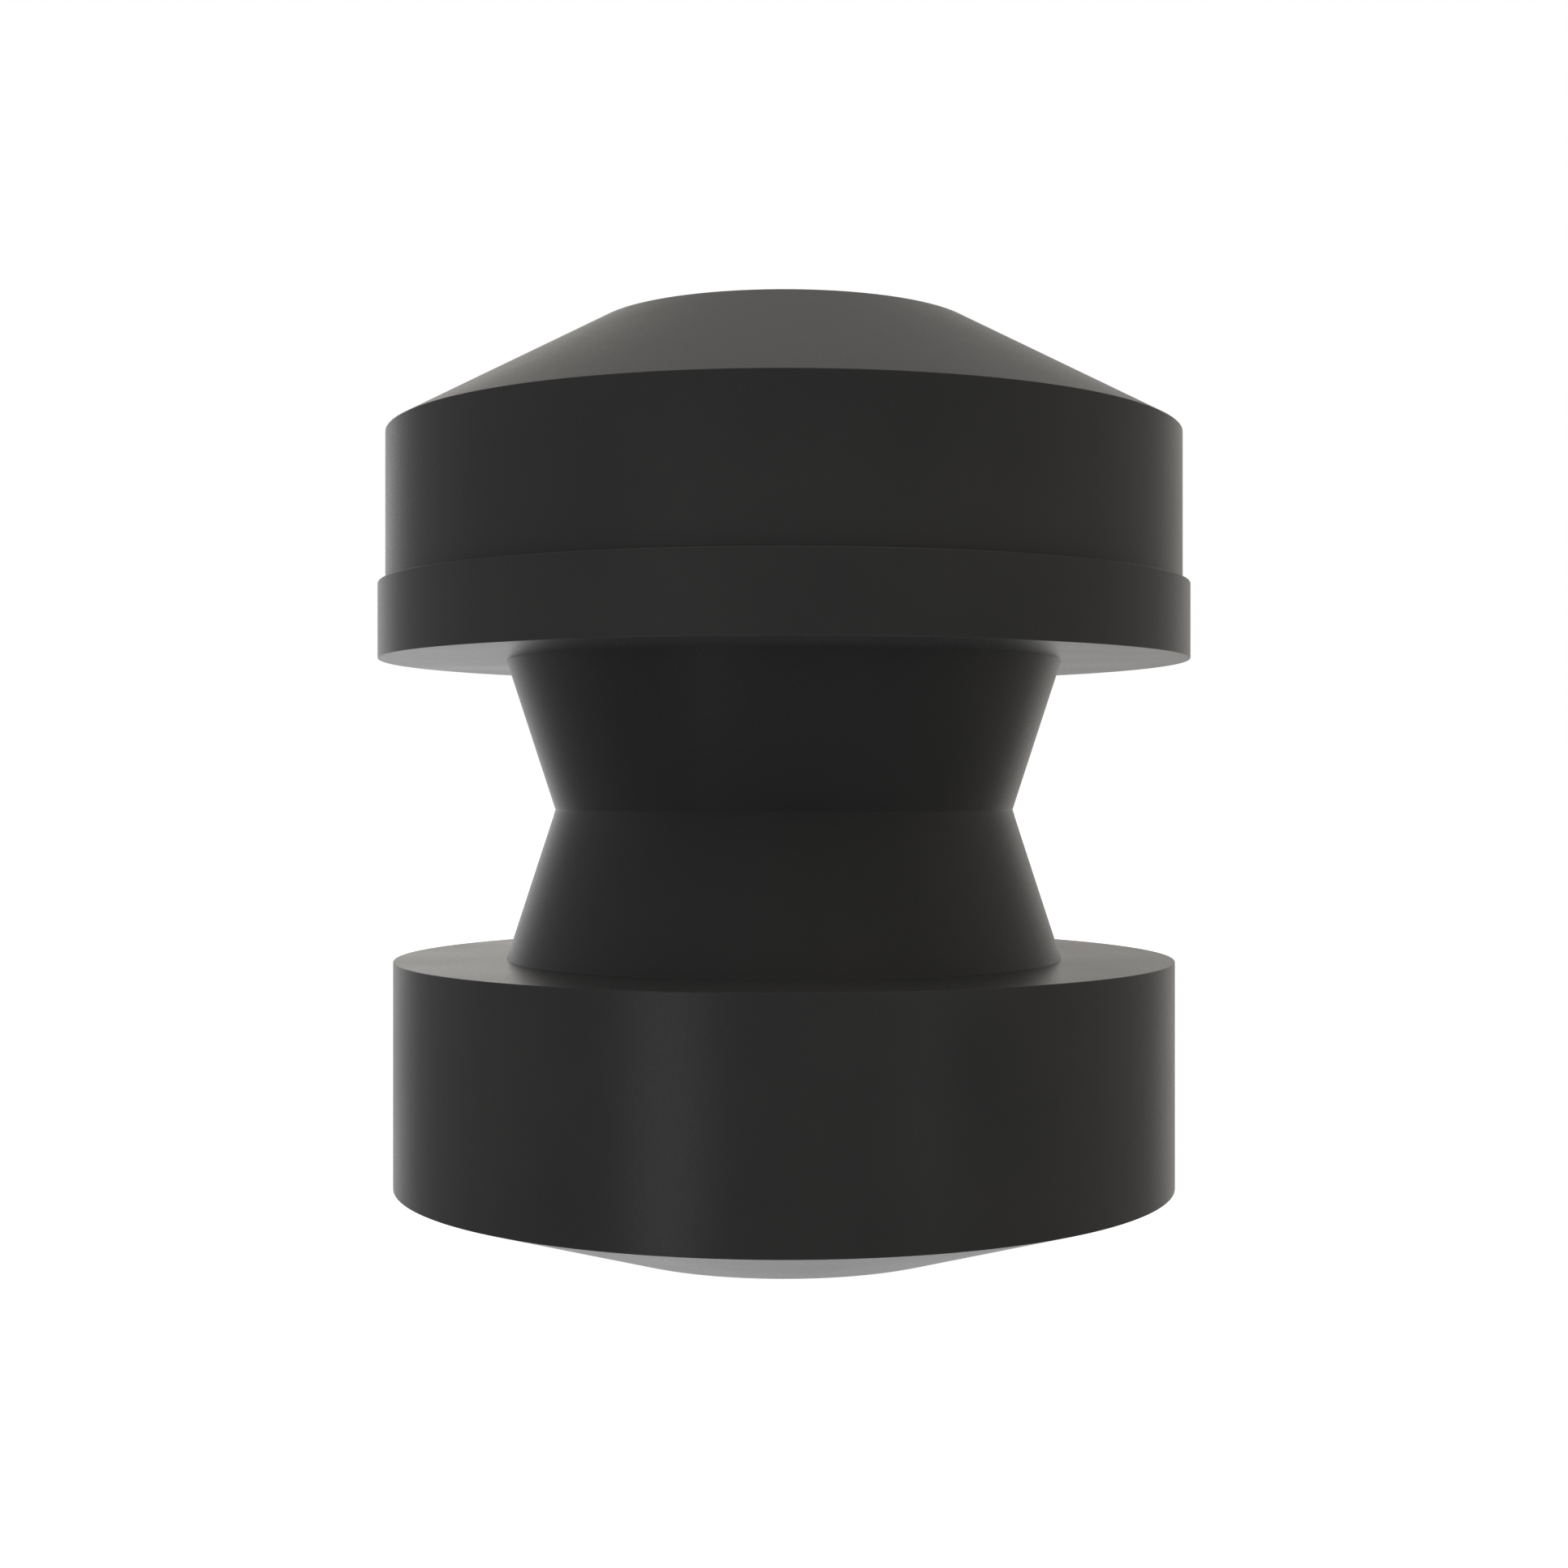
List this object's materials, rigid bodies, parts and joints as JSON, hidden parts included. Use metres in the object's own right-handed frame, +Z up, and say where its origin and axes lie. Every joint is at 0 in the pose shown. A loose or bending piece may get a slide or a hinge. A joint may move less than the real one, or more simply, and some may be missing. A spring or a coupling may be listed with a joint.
{
  "type": "bollard post",
  "caption": "Low round deck bollard with a drum base, V-waisted neck for the mooring line and a wide head under a screw-off domed cap.",
  "frame": {"origin": "centre of the foot's flat underside, on the deck", "axes": "+Z up along the post's axis; the deck bolts lie on the diagonals between X and Y, and the cap's two key holes lie on X"},
  "size_m": [0.109, 0.109, 0.1233],
  "materials": {
    "black_aluminium": "satin",
    "stainless": "brushed",
    "seal_rubber": "matte",
    "plug_plastic": "matte"
  },
  "bodies": {
    "post": {"foot_plate": "black_aluminium", "deck_inserts": "stainless", "deck_gasket": "seal_rubber", "pocket_plug": "plug_plastic", "tie_bolt": "stainless", "head_washer": "stainless", "base_oring": "seal_rubber", "base_dowels": "stainless", "base_drum": "black_aluminium", "core_tube": "stainless", "lower_neck_oring": "seal_rubber", "lower_neck_dowels": "stainless", "lower_neck_sleeve": "black_aluminium", "waist_oring": "seal_rubber", "waist_dowels": "stainless", "upper_neck_sleeve": "black_aluminium", "upper_neck_oring": "seal_rubber", "upper_neck_dowels": "stainless", "head_flange": "black_aluminium", "nut_washer": "stainless", "spring_washer": "stainless", "tie_nut": "stainless"},
    "cap_seal": {"cap_gasket": "seal_rubber"},
    "cap": {"cap_shell": "black_aluminium"}
  },
  "joints": [
    {"name": "cap_lift", "type": "slide", "parent": "post", "child": "cap_seal", "axis": [0, 0, 1], "range_m": [0, 0.008]},
    {"name": "cap_turn", "type": "hinge", "parent": "cap_seal", "child": "cap", "pos_m": [0, 0, 0.0882], "axis": [0, 0, 1], "range_deg": [0, 720]}
  ],
  "couplings": [
    {"joint": "cap_lift", "follows": "cap_turn", "m_per_rad": 0.00063662}
  ]
}
